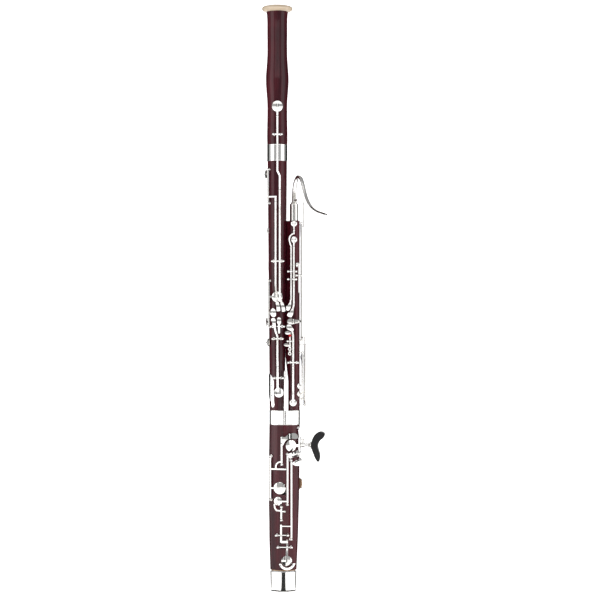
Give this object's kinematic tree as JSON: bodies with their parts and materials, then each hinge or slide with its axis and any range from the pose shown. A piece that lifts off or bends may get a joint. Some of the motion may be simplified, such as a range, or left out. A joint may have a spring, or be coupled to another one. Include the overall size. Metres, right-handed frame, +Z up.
{
  "type": "bassoon",
  "caption": "Tall double-reed woodwind in four wooden joints with bell ring, curved metal bocal, hand rest and hinged silver keywork.",
  "frame": {"origin": "middle of the flat foot of the boot cap", "axes": "+Z up the instrument to the bell, -Y to the player (thumb side), +X to the side of the wing joint and hand rest"},
  "size_m": [0.1481, 0.1753, 1.3385],
  "materials": {
    "silver_plate": "bright silver plate",
    "maple_lacquer": "dark red stain under gloss lacquer",
    "ivory_ring": "polished imitation ivory",
    "steel": "turned steel",
    "black_saddle": "satin black",
    "pad_leather": "tan pad skin",
    "cork": "fine cork",
    "thread_lapping": "waxed red thread",
    "liner": "black hard rubber",
    "nickel_bow": "nickel silver"
  },
  "bodies": {
    "instrument": {"bass_joint": "maple_lacquer", "bell_ferrule": "silver_plate", "bell_joint": "maple_lacquer", "bell_ring": "ivory_ring", "boot_cap": "silver_plate", "boot_joint": "maple_lacquer", "boot_top_band": "silver_plate", "bow_gasket": "cork", "end_bow": "nickel_bow", "finger_hole_tubes": "liner", "hand_plate": "silver_plate", "hand_rest_plate": "silver_plate", "hinge_rods": "steel", "key_posts": "silver_plate", "lock_rod": "silver_plate", "pad_guard": "silver_plate", "strap_ring": "silver_plate", "tenon_wraps": "thread_lapping", "wing_joint": "maple_lacquer", "wing_top_band": "silver_plate"},
    "bell_bb_key": {"bell_bb_key": "silver_plate", "bell_bb_pad": "pad_leather"},
    "low_bb_lever": {"low_bb_lever": "silver_plate"},
    "low_b_lever": {"low_b_lever": "silver_plate"},
    "low_b_key": {"low_b_key": "silver_plate", "low_b_pad": "pad_leather"},
    "low_c_key": {"low_c_key": "silver_plate", "low_c_pad": "pad_leather"},
    "low_d_lever": {"low_d_lever": "silver_plate"},
    "low_d_key": {"low_d_key": "silver_plate", "low_d_pad": "pad_leather"},
    "thumb_csharp_lever": {"thumb_csharp_lever": "silver_plate"},
    "low_eb_key": {"low_eb_key": "silver_plate", "low_eb_pad": "pad_leather"},
    "low_csharp_key": {"low_csharp_key": "silver_plate"},
    "c_key": {"c_key": "silver_plate"},
    "a_key": {"a_key": "silver_plate"},
    "csharp_lever": {"csharp_lever": "silver_plate"},
    "whisper_lock": {"whisper_lock": "silver_plate"},
    "high_d_key": {"high_d_key": "silver_plate"},
    "whisper_key": {"whisper_key": "silver_plate"},
    "whisper_link": {"whisper_link": "silver_plate"},
    "trill_key": {"trill_key": "silver_plate"},
    "bb_thumb_key": {"bb_thumb_key": "silver_plate"},
    "bb_pad_key": {"bb_pad_key": "silver_plate"},
    "pancake_key": {"pancake_key": "silver_plate", "pancake_pad": "pad_leather"},
    "fs_thumb_key": {"fs_thumb_key": "silver_plate"},
    "fs_link_key": {"fs_link_key": "silver_plate"},
    "ab_thumb_key": {"ab_thumb_key": "silver_plate"},
    "ab_link_lever": {"ab_link_lever": "silver_plate"},
    "ab_pad_key": {"ab_pad_key": "silver_plate"},
    "low_f_key": {"low_f_key": "silver_plate", "low_f_pad": "pad_leather"},
    "g_key": {"g_key": "silver_plate"},
    "bocal": {"bocal": "silver_plate", "bocal_cork": "cork"},
    "crutch_post": {"crutch_post": "silver_plate"},
    "crutch": {"crutch": "black_saddle"},
    "crutch_screw": {"crutch_screw": "silver_plate"}
  },
  "joints": [
    {"name": "bell_bb_key_hinge", "type": "hinge", "parent": "instrument", "child": "bell_bb_key", "pos_m": [-0.0228, -0.0319, 1.043], "axis": [1, 0, 0], "range_deg": [-6.1, 0], "stiffness_Nm_per_rad": 0.12, "springref_deg": 14.32},
    {"name": "low_bb_lever_hinge", "type": "hinge", "parent": "instrument", "child": "low_bb_lever", "pos_m": [-0.0254, -0.02717, 0.7546], "axis": [1, 0, 0], "range_deg": [0, 1.05], "stiffness_Nm_per_rad": 0.12, "springref_deg": -14.32},
    {"name": "low_b_lever_hinge", "type": "hinge", "parent": "instrument", "child": "low_b_lever", "pos_m": [-0.0254, -0.02717, 0.7546], "axis": [1, 0, 0], "range_deg": [0, 1.45], "stiffness_Nm_per_rad": 0.12, "springref_deg": -14.32},
    {"name": "low_b_key_hinge", "type": "hinge", "parent": "instrument", "child": "low_b_key", "pos_m": [-0.03474, -0.0168, 0.887], "axis": [-0.0066, -0.0053, 1], "range_deg": [-12.6, 0], "stiffness_Nm_per_rad": 0.12, "springref_deg": 14.32},
    {"name": "low_c_key_hinge", "type": "hinge", "parent": "instrument", "child": "low_c_key", "pos_m": [-0.03289, -0.0153, 0.6045], "axis": [-0.0066, -0.0053, 1], "range_deg": [0, 6.8], "stiffness_Nm_per_rad": 0.12, "springref_deg": -14.32},
    {"name": "low_d_lever_hinge", "type": "hinge", "parent": "instrument", "child": "low_d_lever", "pos_m": [-0.0244, -0.02648, 0.5778], "axis": [1, 0, 0], "range_deg": [-3.85, 0], "stiffness_Nm_per_rad": 0.12, "springref_deg": 14.32},
    {"name": "low_d_key_hinge", "type": "hinge", "parent": "instrument", "child": "low_d_key", "pos_m": [-0.021, -0.02333, 0.4885], "axis": [1, 0, 0], "range_deg": [0, 6.8], "stiffness_Nm_per_rad": 0.12, "springref_deg": -14.32},
    {"name": "thumb_csharp_lever_hinge", "type": "hinge", "parent": "instrument", "child": "thumb_csharp_lever", "pos_m": [-0.0284, -0.02272, 0.6057], "axis": [1, 0, 0], "range_deg": [-5, 0], "stiffness_Nm_per_rad": 0.12, "springref_deg": 14.32},
    {"name": "low_eb_key_hinge", "type": "hinge", "parent": "instrument", "child": "low_eb_key", "pos_m": [-0.0293, 0.01824, 0.545], "axis": [-0.0054, 0.0065, 1], "range_deg": [0, 6.8], "stiffness_Nm_per_rad": 0.12, "springref_deg": -14.32},
    {"name": "low_csharp_key_hinge", "type": "hinge", "parent": "instrument", "child": "low_csharp_key", "pos_m": [-0.02987, 0.01891, 0.65], "axis": [-0.0054, 0.0065, 1], "range_deg": [-9, 0], "stiffness_Nm_per_rad": 0.12, "springref_deg": 14.32},
    {"name": "c_key_hinge", "type": "hinge", "parent": "instrument", "child": "c_key", "pos_m": [0.0109, -0.0182, 0.7312], "axis": [1, 0, 0], "range_deg": [0, 2], "stiffness_Nm_per_rad": 0.12, "springref_deg": -14.32},
    {"name": "a_key_hinge", "type": "hinge", "parent": "instrument", "child": "a_key", "pos_m": [0.0109, -0.0215, 0.7133], "axis": [1, 0, 0], "range_deg": [0, 2.2], "stiffness_Nm_per_rad": 0.12, "springref_deg": -14.32},
    {"name": "csharp_lever_hinge", "type": "hinge", "parent": "instrument", "child": "csharp_lever", "pos_m": [0.0113, -0.0182, 0.5233], "axis": [1, 0, 0], "range_deg": [-2, 0], "stiffness_Nm_per_rad": 0.12, "springref_deg": 14.32},
    {"name": "whisper_lock_hinge", "type": "hinge", "parent": "instrument", "child": "whisper_lock", "pos_m": [0.0097, -0.0182, 0.572], "axis": [1, 0, 0], "range_deg": [-5, 5], "stiffness_Nm_per_rad": 0.12},
    {"name": "high_d_key_hinge", "type": "hinge", "parent": "instrument", "child": "high_d_key", "pos_m": [0.03046, -0.01815, 0.722], "axis": [0.7986, 0.6018, 0], "range_deg": [0, 5], "stiffness_Nm_per_rad": 0.12, "springref_deg": -14.32},
    {"name": "whisper_key_hinge", "type": "hinge", "parent": "instrument", "child": "whisper_key", "pos_m": [0.04144, -0.00302, 0.574], "axis": [0, 0, 1], "range_deg": [-6.8, 0], "stiffness_Nm_per_rad": 0.12, "springref_deg": 14.32},
    {"name": "whisper_link_hinge", "type": "hinge", "parent": "instrument", "child": "whisper_link", "pos_m": [0.04888, 0.00086, 0.426], "axis": [0, 0, 1], "range_deg": [-7, 0], "stiffness_Nm_per_rad": 0.12, "springref_deg": 14.32},
    {"name": "trill_key_hinge", "type": "hinge", "parent": "instrument", "child": "trill_key", "pos_m": [0.04353, -0.00551, 0.44], "axis": [0, 0, 1], "range_deg": [0, 7], "stiffness_Nm_per_rad": 0.12, "springref_deg": -14.32},
    {"name": "bb_thumb_key_hinge", "type": "hinge", "parent": "instrument", "child": "bb_thumb_key", "pos_m": [-0.0038, -0.0272, 0.2917], "axis": [0, 0, 1], "range_deg": [0, 5.5], "stiffness_Nm_per_rad": 0.12, "springref_deg": -14.32},
    {"name": "bb_pad_key_hinge", "type": "hinge", "parent": "instrument", "child": "bb_pad_key", "pos_m": [-0.02969, -0.01756, 0.2107], "axis": [0, 0, 1], "range_deg": [-6.1, 0], "stiffness_Nm_per_rad": 0.12, "springref_deg": 14.32},
    {"name": "pancake_key_hinge", "type": "hinge", "parent": "instrument", "child": "pancake_key", "pos_m": [0.03614, -0.01534, 0.311], "axis": [0, 0, 1], "range_deg": [-10.6, 0], "stiffness_Nm_per_rad": 0.12, "springref_deg": 14.32},
    {"name": "fs_thumb_key_hinge", "type": "hinge", "parent": "instrument", "child": "fs_thumb_key", "pos_m": [0.0098, -0.02712, 0.2004], "axis": [0, -0.0006, 1], "range_deg": [0, 6], "stiffness_Nm_per_rad": 0.12, "springref_deg": -14.32},
    {"name": "fs_link_key_hinge", "type": "hinge", "parent": "instrument", "child": "fs_link_key", "pos_m": [-0.0046, -0.02685, 0.1649], "axis": [0, -0.0078, 1], "range_deg": [0, 5], "stiffness_Nm_per_rad": 0.12, "springref_deg": -14.32},
    {"name": "ab_thumb_key_hinge", "type": "hinge", "parent": "instrument", "child": "ab_thumb_key", "pos_m": [0.0186, -0.02651, 0.1214], "axis": [0, -0.0039, 1], "range_deg": [0, 4.2], "stiffness_Nm_per_rad": 0.12, "springref_deg": -14.32},
    {"name": "ab_link_lever_hinge", "type": "hinge", "parent": "instrument", "child": "ab_link_lever", "pos_m": [-0.0166, -0.02778, 0.1305], "axis": [1, 0, 0], "range_deg": [0, 4.85], "stiffness_Nm_per_rad": 0.12, "springref_deg": -14.32},
    {"name": "ab_pad_key_hinge", "type": "hinge", "parent": "instrument", "child": "ab_pad_key", "pos_m": [-0.0128, -0.0254, 0.103], "axis": [1, 0, 0], "range_deg": [-4.9, 0], "stiffness_Nm_per_rad": 0.12, "springref_deg": 14.32},
    {"name": "low_f_key_hinge", "type": "hinge", "parent": "instrument", "child": "low_f_key", "pos_m": [0.015, 0.02673, 0.15], "axis": [0, 0.004, 1], "range_deg": [-11.2, 0], "stiffness_Nm_per_rad": 0.12, "springref_deg": 14.32},
    {"name": "g_key_hinge", "type": "hinge", "parent": "instrument", "child": "g_key", "pos_m": [-0.019, 0.02716, 0.205], "axis": [0, 0.0006, 1], "range_deg": [-8.7, 0], "stiffness_Nm_per_rad": 0.12, "springref_deg": 14.32},
    {"name": "bocal_swivel", "type": "hinge", "parent": "instrument", "child": "bocal", "pos_m": [0.0243, 0, 0.886], "axis": [0, 0, 1], "range_deg": [-25, 20]},
    {"name": "crutch_slide", "type": "slide", "parent": "instrument", "child": "crutch_post", "axis": [0.9945, -0.1045, 0], "range_m": [0, 0.004]},
    {"name": "crutch_turn", "type": "hinge", "parent": "crutch_post", "child": "crutch", "pos_m": [0.03716, -0.00172, 0.3343], "axis": [0.9945, -0.1045, 0], "range_deg": [-35, 35]},
    {"name": "crutch_screw_turn", "type": "hinge", "parent": "instrument", "child": "crutch_screw", "pos_m": [0.04412, -0.00246, 0.345], "axis": [0, 0, 1], "range_deg": [-150, 150]}
  ],
  "couplings": [
    {"joint": "bell_bb_key_hinge", "follows": "low_bb_lever_hinge", "ratio": -5.7},
    {"joint": "low_b_key_hinge", "follows": "low_b_lever_hinge", "ratio": -8.6},
    {"joint": "low_d_key_hinge", "follows": "low_d_lever_hinge", "ratio": -1.75},
    {"joint": "bb_pad_key_hinge", "follows": "bb_thumb_key_hinge", "ratio": -1.08},
    {"joint": "ab_link_lever_hinge", "follows": "ab_thumb_key_hinge", "ratio": 1.146},
    {"joint": "ab_pad_key_hinge", "follows": "ab_thumb_key_hinge", "ratio": -1.15}
  ]
}
